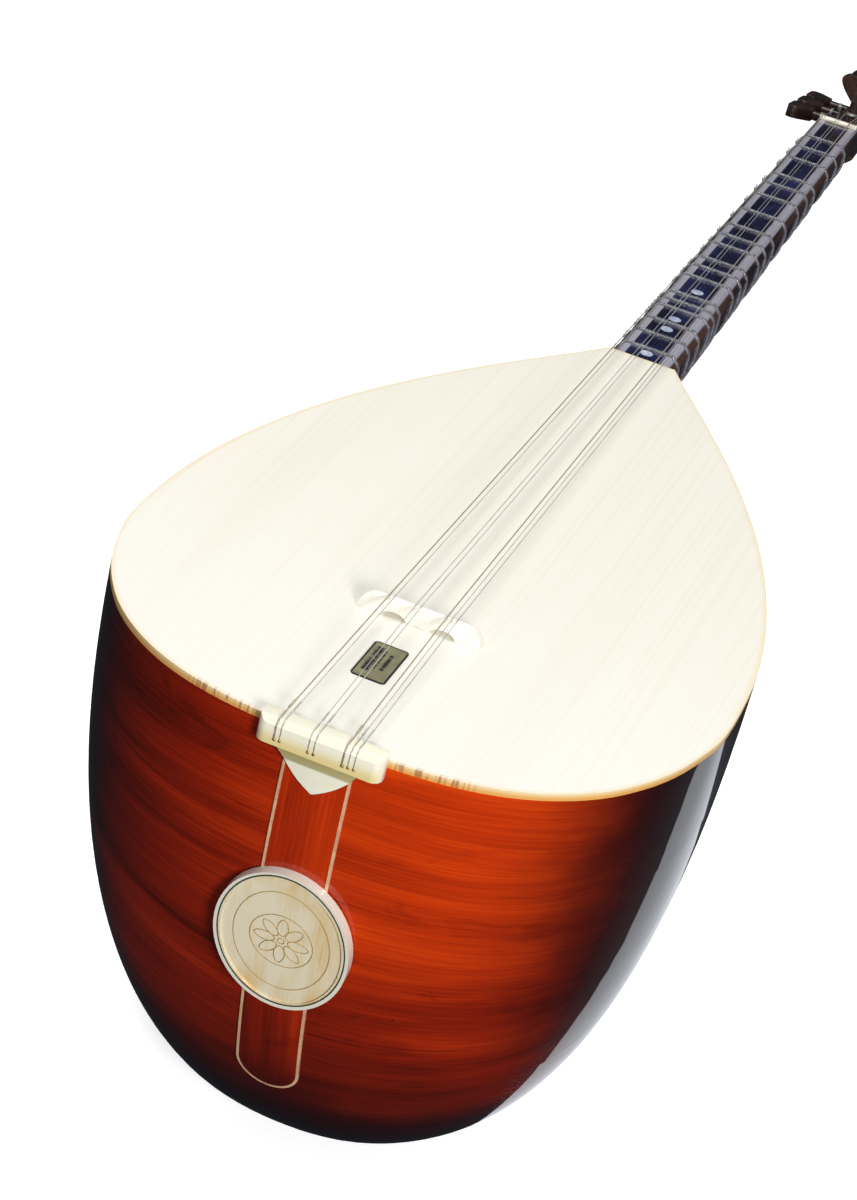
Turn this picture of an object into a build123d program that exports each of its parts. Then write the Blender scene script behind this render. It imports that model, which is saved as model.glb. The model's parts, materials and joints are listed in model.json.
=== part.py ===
from build123d import *
import os
from math import cos, radians, sin

# Baglama saz with a short neck, in millimetres. +Y runs from the tail to the head, +Z points out of
# the soundboard, and the origin is the lowest point of the bowl's back, on the centreline.

# bowl
BOWL_LENGTH = 420.0
BOWL_WIDTH = 260.0
BOWL_DEPTH = 252.0
WIDEST_FROM_TAIL = 122.0
DEEPEST_FROM_TAIL = 110.0
HEEL_WIDTH = 34.0
HEEL_DEPTH = 36.0
TAIL_FULLNESS = 1 / 2.8
PLAN_TAPER = 1.09
BACK_TAPER = 1.01
TAIL_SQUARENESS = 1.8
SQUARENESS_GAIN = 3.0
WALL = 4.0
SOUNDBOARD_THICKNESS = 3.0
SIDE_STAVES = 4
STAVE_ANGLE = 7.0
KEEL_END_ANGLE = 80.0
SEAM_AXIS_BEYOND_HEEL = 60.0
NECK_BLOCK_LENGTH = 45.0
TAIL_BLOCK_THICKNESS = 20.0
TAIL_BLOCK_HEIGHT = 60.0
TAIL_BLOCK_HALF_WIDTH = 30.0
BRACE_FROM_TAIL = 150.0
BRACE_WIDTH = 7.0
BRACE_HEIGHT = 12.0

# tail
SKIN = 0.8
STRAP_HALF_WIDTH = 12.7
FILLET_WIDTH = 1.2
STRAP_LENGTH = 190.0
MEDALLION_WIDTH = 57.0
MEDALLION_HEIGHT = 71.0
MEDALLION_BELOW_TOP = 98.0
MEDALLION_TILT = 10.7
MEDALLION_PROUD = 1.6
MEDALLION_SEAT = 12.0
RING_WIDTH = 3.0
RING_PROUD = 2.4
TAILPIECE_LENGTH = 51.0
TAILPIECE_RISE = 3.5
TAILPIECE_OVERHANG = 6.5
TAILPIECE_ON_BOARD = 3.5
TAILPIECE_DROP = 7.5
CHIN_DROP = 25.0
CHIN_WIDTH = 27.0
CHIN_TOP_WIDTH = 34.0
CHIN_SHOULDER_SHARE = 0.56
CHIN_PLATE = 1.8

# soundboard fittings
BRIDGE_SHARE = 103 / 420
BRIDGE_LENGTH = 53.0
BRIDGE_TOP_LENGTH = 38.0
BRIDGE_HEIGHT = 8.0
BRIDGE_THICKNESS = 7.0
BRIDGE_CREST_RADIUS = 2.0
BRIDGE_FOOT = 1.0
BRIDGE_END_HEIGHT = 1.2
BRIDGE_ARCH_WIDTH = 11.0
BRIDGE_ARCH_HEIGHT = 2.6
BRIDGE_CLEARANCE = 0.05
LABEL_WIDTH = 14.6
LABEL_LENGTH = 29.5
LABEL_THICKNESS = 0.4
LABEL_CORNER = 1.8
LABEL_FROM_TAIL = 64.0
LABEL_OFFSET = -2.5

# neck and head
SCALE_SHARE = 736 / 420
NECK_HALF_WIDTH_AT_JOINT = 16.5
NECK_HALF_WIDTH_AT_NUT = 14.0
NECK_DEPTH_AT_NUT = 24.0
NECK_BEVEL = 4.5
NECK_FLAT_SHARE = 0.74
NECK_SQUARENESS = 2.5
PALE_EDGE = 3.0
FINGERBOARD_THICKNESS = 1.0
DOT_DIAMETER = 6.4
DOT_THICKNESS = 0.5
DOT_CENTS = (1418, 1235.5, 1165, 979.5)
NUT_THICKNESS = 4.0
NUT_HEIGHT = 2.4
NUT_ROUNDING = 1.0
HEAD_AFTER_NUT = 6.0
HEAD_LENGTH = 138.0
HEAD_TILT = 10.0
HEAD_STEP_DOWN = 1.6
HEAD_HALF_WIDTH = 10.5
HEAD_THICKNESS = 22.0
HEAD_TAPER_END = 45.0
HEAD_BEVEL = 3.0
HEAD_TIP_RADIUS = 8.0

# frets: cents above the open string, like the dots
FRET_CENTS = (90, 145, 204, 294, 345, 408, 498, 588, 648, 702, 792, 843, 906, 1018, 1065, 1110, 1200,
              1290, 1390)
FRET_WIDTH = 2.7
FRET_THICKNESS = 0.9
FRET_CLEARANCE = 0.09

# pegs
SHAFT_RADIUS = 3.0
SHAFT_CLEARANCE = 0.05
FRONT_PEGS = ((2.6, 22.0), (3.4, 52.0), (4.6, 82.0), (5.2, 112.0))
SIDE_PEGS_ALONG_HEAD = (37.0, 67.0, 97.0)
SIDE_PEG_DEPTH = 6.0
PEG_STEM_OUT = 12.0
PEG_BEYOND_HEAD = 2.5
KNOB_WIDTH = 24.0
KNOB_HEIGHT = 15.0
KNOB_THICKNESS = 7.5
KNOB_NECK = 6.4
KNOB_HIP_IN = 1.5
KNOB_HIP_DOWN = 0.52
KNOB_WIDEST_DOWN = 0.8
KNOB_CORNER = 3.5

# strings: from the left, courses of two, two and three
STRING_RADIUS = (0.30, 0.18, 0.18, 0.18, 0.30, 0.18, 0.18)
STRING_AT_TAILPIECE = (-17.4, -15.2, -3.7, -1.4, 10.3, 12.6, 14.9)
STRING_AT_BRIDGE = (-14.7, -12.5, -3.2, -1.0, 10.4, 12.6, 14.8)
STRING_AT_NUT = (-10.2, -8.4, -1.6, 0.2, 6.8, 8.5, 10.2)
STRING_LIFT_AT_BRIDGE = 0.18
STRING_LIFT = 0.06
STRING_LIFT_AT_NUT = 0.12
STRING_BEND_RADIUS = 1.2
WINDING_HEIGHT = 5.0
WINDING_FROM_SIDE = 4.5

TAIL_Y = -DEEPEST_FROM_TAIL
TOP_Z = BOWL_DEPTH
RIM_Z = TOP_Z - SOUNDBOARD_THICKNESS
JOINT_Y = TAIL_Y + BOWL_LENGTH
BRIDGE_Y = TAIL_Y + BRIDGE_SHARE * BOWL_LENGTH
SCALE_LENGTH = SCALE_SHARE * BOWL_LENGTH
NUT_Y = BRIDGE_Y + SCALE_LENGTH
HEAD_Y = NUT_Y + HEAD_AFTER_NUT
LIP = 6.0
REACH = 2 * (BOWL_LENGTH + BOWL_WIDTH + BOWL_DEPTH)
HEAD_PLANE = Plane(
    origin=(0, HEAD_Y, TOP_Z - HEAD_STEP_DOWN), x_dir=(1, 0, 0),
    z_dir=(0, sin(radians(HEAD_TILT)), cos(radians(HEAD_TILT))),
)

os.makedirs("parts", exist_ok=True)


def save(part, name):
    """Label a finished piece and write it to its own file."""
    part.label = name
    export_step(part, f"parts/{name}.step")


# ---- the bowl's shape -------------------------------------------------------------------------
# Distances from the tail run along +Y, depths run down from the rim. Every cross-section is half a
# superellipse, and "grow" moves the whole surface outwards.


def swell(at, peak, start, end, exponent_tail, exponent_neck, small, large, grow):
    """A height that rises from nothing at the tail to its peak and falls to the heel."""
    if at < peak:
        share = max(0.0, 1 - ((peak - at) / (peak - start)) ** 2)
        return (large + grow) * share ** exponent_tail
    share = max(0.0, 1 - ((at - peak) / (end - peak)) ** 2)
    return small + grow + (large - small) * share ** exponent_neck


def bowl_half_width(at, grow):
    """Half of the bowl's width at the rim."""
    return swell(at, WIDEST_FROM_TAIL, -grow, BOWL_LENGTH, TAIL_FULLNESS, PLAN_TAPER,
                 HEEL_WIDTH / 2, BOWL_WIDTH / 2, grow)


def bowl_depth(at, grow):
    """How far the bowl's back lies below the rim."""
    return swell(at, DEEPEST_FROM_TAIL, -grow, BOWL_LENGTH, 1 / 2, BACK_TAPER,
                 HEEL_DEPTH - SOUNDBOARD_THICKNESS, BOWL_DEPTH - SOUNDBOARD_THICKNESS, grow)


def inside_bowl(x, at, z, grow):
    """Whether a point lies inside the bowl's surface, which runs straight up above the rim."""
    if at <= -grow + 1e-6:
        return False
    squareness = min(TAIL_SQUARENESS + SQUARENESS_GAIN * at / BOWL_LENGTH, NECK_SQUARENESS)
    down = max(0.0, RIM_Z - z) / bowl_depth(at, grow)
    across = abs(x) / bowl_half_width(at, grow)
    return across ** squareness + down ** squareness < 1


def bowl_outline(chord_at, tilt, grow):
    """Points where a plane through a cross chord, tilted down towards the tail, meets the bowl."""
    half = bowl_half_width(chord_at, grow)
    level = RIM_Z + LIP

    def reach(x_step, r_step):
        low, high = 0.0, 1.0
        while inside_bowl(high * x_step, chord_at - high * r_step * cos(tilt),
                          level - high * r_step * sin(tilt), grow):
            high *= 2
        for _ in range(50):
            middle = (low + high) / 2
            if inside_bowl(middle * x_step, chord_at - middle * r_step * cos(tilt),
                           level - middle * r_step * sin(tilt), grow):
                low = middle
            else:
                high = middle
        return low

    deep = reach(0.0, 1.0)
    points = []
    for step in range(13):
        angle = radians(15 * step)
        if step in (0, 12):
            points.append((half if step == 0 else -half, 0.0))
            continue
        x_step = half * cos(angle)
        r_step = deep * sin(angle)
        share = reach(x_step, r_step)
        points.append((share * x_step, share * r_step))
    return points


# each section plane: its chord, as a share of the way from tail to widest or widest to heel, and tilt
TAIL_SECTIONS = ((0.11, 0), (0.16, 20), (0.25, 40), (0.38, 60), (0.57, 74), (0.75, 83), (0.90, 90))
BODY_SECTIONS = (0.1, 0.27, 0.44, 0.6, 0.75, 0.89, 1.0)


def bowl_body(grow):
    """The bowl's whole shape as a solid, from above the rim down to the back."""
    planes = [(share * WIDEST_FROM_TAIL, radians(tilt)) for share, tilt in TAIL_SECTIONS]
    rest = BOWL_LENGTH - WIDEST_FROM_TAIL
    planes += [(WIDEST_FROM_TAIL + share * rest, radians(90)) for share in BODY_SECTIONS]
    with BuildPart() as body:
        for chord_at, tilt in planes:
            section_plane = Plane(origin=(0, TAIL_Y + chord_at, RIM_Z + LIP), x_dir=(1, 0, 0),
                                  z_dir=(0, sin(tilt), -cos(tilt)))
            points = bowl_outline(chord_at, tilt, grow)
            with BuildSketch(section_plane):
                with BuildLine():
                    Spline(*points)
                    Line(points[-1], points[0])
                make_face()
        loft()
    return body.part


BOWL = bowl_body(0)
CAVITY = bowl_body(-WALL)
SKINNED = bowl_body(SKIN)


def slab(low_y, high_y, low_z, high_z, half_x):
    """A plain block, used to cut pieces to length."""
    with BuildPart() as block:
        with BuildSketch(Plane.YZ):
            with BuildLine():
                Polyline((low_y, low_z), (high_y, low_z), (high_y, high_z), (low_y, high_z), close=True)
            make_face()
        extrude(amount=half_x, both=True)
    return block.part


# ---- bowl pieces ------------------------------------------------------------------------------


def seam_point(angle):
    """A far point on the seam plane at an angle below the rim."""
    axis_y = JOINT_Y + SEAM_AXIS_BEYOND_HEEL
    return axis_y - REACH * cos(radians(angle)), RIM_Z - REACH * sin(radians(angle))


def stave(upper_angle, lower_angle):
    """The bowl's wall right of the centreline, between two seam planes that meet beyond the heel."""
    axis = (JOINT_Y + SEAM_AXIS_BEYOND_HEEL, RIM_Z)
    with BuildPart() as wedge:
        with BuildSketch(Plane.YZ):
            with BuildLine():
                Polyline(axis, seam_point(upper_angle), seam_point(lower_angle), close=True)
            make_face()
        extrude(amount=REACH)
    with BuildPart() as piece:
        add(BOWL)
        add(wedge.part, mode=Mode.INTERSECT)
        add(CAVITY, mode=Mode.SUBTRACT)
    return piece.part


def bowl_pieces():
    """Staves in mirrored pairs, and the keel across both sides."""
    for step in range(SIDE_STAVES):
        right = stave(step * STAVE_ANGLE, (step + 1) * STAVE_ANGLE)
        with BuildPart() as left:
            mirror(right, about=Plane.YZ)
        save(left.part, f"stave_{step + 1}_left")
        save(right, f"stave_{step + 1}_right")
    with BuildPart() as keel:
        add(stave(SIDE_STAVES * STAVE_ANGLE, KEEL_END_ANGLE))
        mirror(about=Plane.YZ)
    save(keel.part, "stave_keel")


def cavity_block(name, block):
    """A piece that fills the cavity within a plain block."""
    with BuildPart() as piece:
        add(CAVITY)
        add(block, mode=Mode.INTERSECT)
    save(piece.part, name)


def inner_blocks():
    """The blocks that carry the neck and the tailpiece, and the brace under the soundboard."""
    tail_foot = RIM_Z - TAIL_BLOCK_HEIGHT
    brace_y = TAIL_Y + BRACE_FROM_TAIL
    cavity_block("neck_block", slab(JOINT_Y - NECK_BLOCK_LENGTH, JOINT_Y + LIP, 0, RIM_Z, BOWL_WIDTH))
    cavity_block("tail_block", slab(TAIL_Y, TAIL_Y + TAIL_BLOCK_THICKNESS, tail_foot, RIM_Z,
                                    TAIL_BLOCK_HALF_WIDTH))
    cavity_block("soundboard_brace", slab(brace_y, brace_y + BRACE_WIDTH, RIM_Z - BRACE_HEIGHT, RIM_Z,
                                          BOWL_WIDTH))


def soundboard():
    """The flat top, with the bowl's own outline."""
    with BuildPart() as piece:
        add(BOWL)
        add(slab(TAIL_Y - 10, JOINT_Y, RIM_Z, TOP_Z, BOWL_WIDTH), mode=Mode.INTERSECT)
    save(piece.part, "soundboard")


# ---- tail -------------------------------------------------------------------------------------


def skin_prism(half_width, bottom, top):
    """A straight bar through the tail with a U-shaped outline, for cutting the thin skin."""
    with BuildPart() as prism:
        with BuildSketch(Plane.XZ.offset(-TAIL_Y - DEEPEST_FROM_TAIL)):
            with BuildLine():
                Polyline((-half_width, bottom + half_width), (-half_width, top), (half_width, top),
                         (half_width, bottom + half_width))
                ThreePointArc((half_width, bottom + half_width), (0, bottom),
                              (-half_width, bottom + half_width))
            make_face()
        extrude(amount=2 * DEEPEST_FROM_TAIL)
    return prism.part


def tail_strap():
    """The thin strap down the tail and the pale line round it."""
    top = RIM_Z
    bottom = TOP_Z - STRAP_LENGTH
    inner = skin_prism(STRAP_HALF_WIDTH, bottom + FILLET_WIDTH, top)
    with BuildPart() as strap:
        add(SKINNED)
        add(BOWL, mode=Mode.SUBTRACT)
        add(inner, mode=Mode.INTERSECT)
    save(strap.part, "tail_strap")
    with BuildPart() as fillet_strip:
        add(SKINNED)
        add(BOWL, mode=Mode.SUBTRACT)
        add(skin_prism(STRAP_HALF_WIDTH + FILLET_WIDTH, bottom, top), mode=Mode.INTERSECT)
        add(inner, mode=Mode.SUBTRACT)
    save(fillet_strip.part, "strap_fillet")


def medallion():
    """The oval disc and its raised ring, seated on the strap at the tail's own slope."""
    tilt = radians(MEDALLION_TILT)
    centre_z = TOP_Z - MEDALLION_BELOW_TOP
    low, high = 0.0, DEEPEST_FROM_TAIL
    for _ in range(40):
        middle = (low + high) / 2
        if inside_bowl(0, middle, centre_z, SKIN):
            high = middle
        else:
            low = middle
    face = Plane(origin=(0, TAIL_Y + high, centre_z), x_dir=(1, 0, 0), z_dir=(0, -cos(tilt), -sin(tilt)))
    radii = MEDALLION_WIDTH / 2, MEDALLION_HEIGHT / 2
    with BuildPart() as disc:
        with BuildSketch(face.offset(-MEDALLION_SEAT)):
            Ellipse(radii[0] - RING_WIDTH, radii[1] - RING_WIDTH)
        extrude(amount=MEDALLION_SEAT + MEDALLION_PROUD)
        add(SKINNED, mode=Mode.SUBTRACT)
    save(disc.part, "medallion_disc")
    with BuildPart() as ring:
        with BuildSketch(face.offset(-MEDALLION_SEAT)):
            Ellipse(*radii)
            Ellipse(radii[0] - RING_WIDTH, radii[1] - RING_WIDTH, mode=Mode.SUBTRACT)
        extrude(amount=MEDALLION_SEAT + RING_PROUD)
        add(SKINNED, mode=Mode.SUBTRACT)
    save(ring.part, "medallion_ring")


def seat_on_tail():
    """What the tailpiece and its chin stand against: the tail with its skin, and the board's top."""
    with BuildPart() as seat:
        add(SKINNED)
        add(slab(TAIL_Y - 10, JOINT_Y, 0, TOP_Z, BOWL_WIDTH), mode=Mode.INTERSECT)
    return seat.part


def tailpiece():
    """The rounded bar that the strings run over, and the pointed chin under it."""
    seat = seat_on_tail()
    front = TAIL_Y - TAILPIECE_OVERHANG
    back = TAIL_Y + TAILPIECE_ON_BOARD
    crown = TOP_Z + TAILPIECE_RISE
    foot = TOP_Z - TAILPIECE_DROP
    with BuildPart() as bar:
        with BuildSketch(Plane.YZ):
            with BuildLine():
                Polyline((front, foot), (TAIL_Y + 2, foot), (TAIL_Y + 2, TOP_Z), (back, TOP_Z),
                         (back, crown - 2), (back - 1.5, crown), (front + 2, crown), (front, crown - 2.5),
                         close=True)
            make_face()
        extrude(amount=TAILPIECE_LENGTH / 2, both=True)
        with BuildSketch(Plane.XY.offset(foot)):
            with Locations((0, (front + back) / 2)):
                RectangleRounded(TAILPIECE_LENGTH, back - front, 0.42 * (back - front))
        extrude(amount=crown - foot, mode=Mode.INTERSECT)
        add(seat, mode=Mode.SUBTRACT)
    save(bar.part, "tailpiece")

    shoulder = TOP_Z - CHIN_DROP * CHIN_SHOULDER_SHARE
    tip = TOP_Z - CHIN_DROP
    with BuildPart() as chin:
        with BuildSketch(Plane.YZ):
            with BuildLine():
                Polyline((TAIL_Y + 6, tip), (TAIL_Y - CHIN_PLATE, tip), (TAIL_Y - CHIN_PLATE, shoulder),
                         (front + 1, foot), (TAIL_Y + 6, foot), close=True)
            make_face()
        extrude(amount=CHIN_TOP_WIDTH / 2, both=True)
        with BuildSketch(Plane.XZ.offset(-TAIL_Y - 10)):
            with BuildLine():
                Polyline((0, foot), (CHIN_TOP_WIDTH / 2, foot), (CHIN_WIDTH / 2, shoulder))
                Spline((CHIN_WIDTH / 2, shoulder), (CHIN_WIDTH / 5, tip + CHIN_DROP * 0.13), (0, tip))
                mirror(about=Plane.YZ)
            make_face()
        extrude(amount=30, mode=Mode.INTERSECT)
        add(seat, mode=Mode.SUBTRACT)
    save(chin.part, "tailpiece_chin")


# ---- soundboard fittings ----------------------------------------------------------------------


def label_plate():
    """The thin metal plate on the soundboard."""
    with BuildPart() as plate:
        with BuildSketch(Plane.XY.offset(TOP_Z)):
            with Locations((LABEL_OFFSET, TAIL_Y + LABEL_FROM_TAIL)):
                RectangleRounded(LABEL_WIDTH, LABEL_LENGTH, LABEL_CORNER)
        extrude(amount=LABEL_THICKNESS)
    save(plate.part, "label_plate")


def bridge():
    """The loose bridge: two arches below, a rounded crest and ends that sweep down."""
    base = TOP_Z + BRIDGE_CLEARANCE
    foot = base + BRIDGE_FOOT
    end = base + BRIDGE_END_HEIGHT
    crest = TOP_Z + BRIDGE_HEIGHT
    half = BRIDGE_THICKNESS / 2
    crest_half = BRIDGE_CREST_RADIUS
    with BuildPart() as piece:
        with BuildSketch(Plane.YZ):
            with BuildLine():
                Polyline((BRIDGE_Y + crest_half, crest - crest_half), (BRIDGE_Y + half, foot),
                         (BRIDGE_Y + half, base), (BRIDGE_Y - half, base), (BRIDGE_Y - half, foot),
                         (BRIDGE_Y - crest_half, crest - crest_half))
                ThreePointArc((BRIDGE_Y - crest_half, crest - crest_half), (BRIDGE_Y, crest),
                              (BRIDGE_Y + crest_half, crest - crest_half))
            make_face()
        extrude(amount=BRIDGE_LENGTH / 2, both=True)
        with BuildSketch(Plane.XZ.offset(-BRIDGE_Y)):
            with BuildLine():
                Polyline((0, base), (BRIDGE_LENGTH / 2, base), (BRIDGE_LENGTH / 2, end))
                Spline((BRIDGE_LENGTH / 2, end), (BRIDGE_TOP_LENGTH / 2, crest),
                       tangents=((-0.4, 1), (-1, 0)))
                Line((BRIDGE_TOP_LENGTH / 2, crest), (0, crest))
                mirror(about=Plane.YZ)
            make_face()
            with Locations((-BRIDGE_LENGTH / 5, base), (BRIDGE_LENGTH / 5, base)):
                Ellipse(BRIDGE_ARCH_WIDTH / 2, BRIDGE_ARCH_HEIGHT, mode=Mode.SUBTRACT)
        extrude(amount=BRIDGE_THICKNESS, both=True, mode=Mode.INTERSECT)
    save(piece.part, "bridge")


# ---- neck -------------------------------------------------------------------------------------


def neck_body(grow):
    """The neck between its joint and its head end, with its whole surface moved out by grow."""
    ends = ((JOINT_Y, NECK_HALF_WIDTH_AT_JOINT, HEEL_DEPTH),
            (HEAD_Y, NECK_HALF_WIDTH_AT_NUT, NECK_DEPTH_AT_NUT))
    with BuildPart() as body:
        for y, half, deep in ends:
            flat = NECK_FLAT_SHARE * half + 0.4 * grow
            top = TOP_Z + grow
            shoulder = TOP_Z - NECK_BEVEL + 0.3 * grow
            round_points = []
            for step in range(9):
                angle = radians(22.5 * step)
                x = (half + grow) * abs(cos(angle)) ** (2 / NECK_SQUARENESS)
                down = (deep - NECK_BEVEL + 1.3 * grow) * sin(angle) ** (2 / NECK_SQUARENESS)
                round_points.append((x if step < 4 else (0 if step == 4 else -x), shoulder - down))
            with BuildSketch(Plane.XZ.offset(-y)):
                with BuildLine():
                    Spline(*round_points, tangents=((0, -1), (0, 1)))
                    Polyline(round_points[-1], (-flat, top), (flat, top), round_points[0])
                make_face()
        loft(ruled=True)
    return body.part


def along_string(cents):
    """The Y of the place where a stopped string sounds so many cents above the open one."""
    return BRIDGE_Y + SCALE_LENGTH * 2 ** (-cents / 1200)


def fingerboard_sketch(y_start, y_end):
    """The long taper of the dark band between the pale edges."""
    slope = (NECK_HALF_WIDTH_AT_JOINT - NECK_HALF_WIDTH_AT_NUT) / (HEAD_Y - JOINT_Y)
    points = []
    for y in (y_start, y_end):
        half = NECK_FLAT_SHARE * (NECK_HALF_WIDTH_AT_JOINT - slope * (y - JOINT_Y)) - PALE_EDGE
        points.append((half, y))
    return points[0], points[1], (-points[1][0], y_end), (-points[0][0], y_start)


def neck():
    """The neck, the fingerboard let into it and the dots let into that."""
    corners = fingerboard_sketch(JOINT_Y, NUT_Y - NUT_THICKNESS / 2)
    bed = Plane.XY.offset(TOP_Z - FINGERBOARD_THICKNESS)
    with BuildPart() as stick:
        add(neck_body(0))
        with BuildSketch(bed):
            with BuildLine():
                Polyline(*corners, close=True)
            make_face()
        extrude(amount=FINGERBOARD_THICKNESS + 1, mode=Mode.SUBTRACT)
    save(stick.part, "neck")
    spots = [(0, along_string(cents)) for cents in DOT_CENTS]
    with BuildPart() as board:
        with BuildSketch(bed):
            with BuildLine():
                Polyline(*corners, close=True)
            make_face()
        extrude(amount=FINGERBOARD_THICKNESS)
        with BuildSketch(Plane.XY.offset(TOP_Z - DOT_THICKNESS)):
            with Locations(*spots):
                Circle(DOT_DIAMETER / 2)
        extrude(amount=DOT_THICKNESS, mode=Mode.SUBTRACT)
    save(board.part, "fingerboard")
    with BuildPart() as dots:
        with BuildSketch(Plane.XY.offset(TOP_Z - DOT_THICKNESS)):
            with Locations(*spots):
                Circle(DOT_DIAMETER / 2)
        extrude(amount=DOT_THICKNESS)
    save(dots.part, "position_dots")


def nut():
    """The nut across the fingerboard's end."""
    half = NUT_THICKNESS / 2
    crest = TOP_Z + NUT_HEIGHT
    edge = crest - NUT_ROUNDING
    with BuildPart() as piece:
        with BuildSketch(Plane.YZ):
            with BuildLine():
                Polyline((NUT_Y + half, edge), (NUT_Y + half, TOP_Z), (NUT_Y - half, TOP_Z),
                         (NUT_Y - half, edge))
                ThreePointArc((NUT_Y - half, edge), (NUT_Y, crest), (NUT_Y + half, edge))
            make_face()
        extrude(amount=NECK_HALF_WIDTH_AT_NUT - 2.5, both=True)
    save(piece.part, "nut")


def frets():
    """Tied frets: three turns of nylon round the neck, free to slide along it."""
    with BuildPart() as sleeve:
        add(neck_body(FRET_CLEARANCE + FRET_THICKNESS))
        add(neck_body(FRET_CLEARANCE), mode=Mode.SUBTRACT)
    for number, cents in enumerate(FRET_CENTS, start=1):
        y = along_string(cents)
        with BuildPart() as fret:
            add(sleeve.part)
            add(slab(y - FRET_WIDTH / 2, y + FRET_WIDTH / 2, 0, TOP_Z + 10, 50), mode=Mode.INTERSECT)
        save(fret.part, f"fret_{number:02d}")


# ---- head and pegs ----------------------------------------------------------------------------


def side_peg_plane(along):
    """A plane across a side peg's axis, at the head's left face, pointing out of it."""
    return Plane(origin=HEAD_PLANE.from_local_coords(Vector(-HEAD_HALF_WIDTH, along, -SIDE_PEG_DEPTH)),
                 x_dir=HEAD_PLANE.y_dir, z_dir=-HEAD_PLANE.x_dir)


def front_peg_plane(across, along):
    """A plane across a front peg's axis, at the head's front face, pointing out of it."""
    return Plane(origin=HEAD_PLANE.from_local_coords(Vector(across, along, 0)),
                 x_dir=HEAD_PLANE.x_dir, z_dir=HEAD_PLANE.z_dir)


def peg_planes():
    """Each peg's plane and the thickness of wood it goes through, in the order of the strings."""
    side = [(side_peg_plane(along), 2 * HEAD_HALF_WIDTH) for along in SIDE_PEGS_ALONG_HEAD]
    front = [(front_peg_plane(*spot), HEAD_THICKNESS) for spot in FRONT_PEGS]
    return side + front


def head():
    """The head, tilted back from the nut, with a bore for each peg."""
    half = NECK_HALF_WIDTH_AT_NUT - 0.5
    start = -HEAD_THICKNESS / 2
    with BuildPart() as block:
        with BuildSketch(HEAD_PLANE):
            with BuildLine():
                Polyline((-half, start), (half, start), (half, 2), (HEAD_HALF_WIDTH, HEAD_TAPER_END),
                         (HEAD_HALF_WIDTH, HEAD_LENGTH), (-HEAD_HALF_WIDTH, HEAD_LENGTH),
                         (-HEAD_HALF_WIDTH, HEAD_TAPER_END), (-half, 2), close=True)
            make_face()
            fillet(vertices().group_by(Axis.Y)[-1], HEAD_TIP_RADIUS)
        extrude(amount=-HEAD_THICKNESS)
        out = Axis((0, 0, 0), tuple(HEAD_PLANE.z_dir))
        chamfer(faces().sort_by(out)[-1].edges(), HEAD_BEVEL)
        chamfer(faces().sort_by(out)[0].edges(), HEAD_BEVEL)
        add(slab(HEAD_Y, HEAD_Y + 2 * HEAD_LENGTH, 0, TOP_Z + 50, 50), mode=Mode.INTERSECT)
        for plane, wood in peg_planes():
            with BuildSketch(plane.offset(-wood - 5)):
                Circle(SHAFT_RADIUS + SHAFT_CLEARANCE)
            extrude(amount=wood + 10, mode=Mode.SUBTRACT)
    save(block.part, "head")


def pegs():
    """Friction pegs: a round shaft with a flat knob that widens outwards."""
    half = KNOB_WIDTH / 2
    neck_half = KNOB_NECK / 2
    for number, (plane, wood) in enumerate(peg_planes(), start=1):
        with BuildPart() as peg:
            with BuildSketch(plane.offset(-wood - PEG_BEYOND_HEAD)):
                Circle(SHAFT_RADIUS)
            extrude(amount=wood + PEG_BEYOND_HEAD + PEG_STEM_OUT + 1)
            with BuildSketch(Plane(origin=plane.offset(PEG_STEM_OUT).origin, x_dir=plane.x_dir,
                                   z_dir=plane.y_dir)):
                with BuildLine():
                    Spline((neck_half, 0), (half - KNOB_HIP_IN, -KNOB_HEIGHT * KNOB_HIP_DOWN),
                           (half, -KNOB_HEIGHT * KNOB_WIDEST_DOWN), (half - KNOB_CORNER, -KNOB_HEIGHT))
                    Line((half - KNOB_CORNER, -KNOB_HEIGHT), (0, -KNOB_HEIGHT))
                    Line((neck_half, 0), (0, 0))
                    mirror(about=Plane.YZ)
                make_face()
            extrude(amount=KNOB_THICKNESS / 2, both=True)
        save(peg.part, f"peg_{number}")


# ---- strings ----------------------------------------------------------------------------------


def string_ends():
    """Where each string meets its peg, in the head's own coordinates."""
    reach = SHAFT_RADIUS + 2 * STRING_LIFT
    ends = []
    for number, along in enumerate(SIDE_PEGS_ALONG_HEAD):
        ends.append((-HEAD_HALF_WIDTH - WINDING_FROM_SIDE, along,
                     reach + STRING_RADIUS[number] - SIDE_PEG_DEPTH))
    for number, (across, along) in enumerate(FRONT_PEGS, start=len(SIDE_PEGS_ALONG_HEAD)):
        side = -1 if number == len(SIDE_PEGS_ALONG_HEAD) else 1
        ends.append((across + side * (reach + STRING_RADIUS[number]), along, WINDING_HEIGHT))
    return [HEAD_PLANE.from_local_coords(Vector(*end)) for end in ends]


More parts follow.
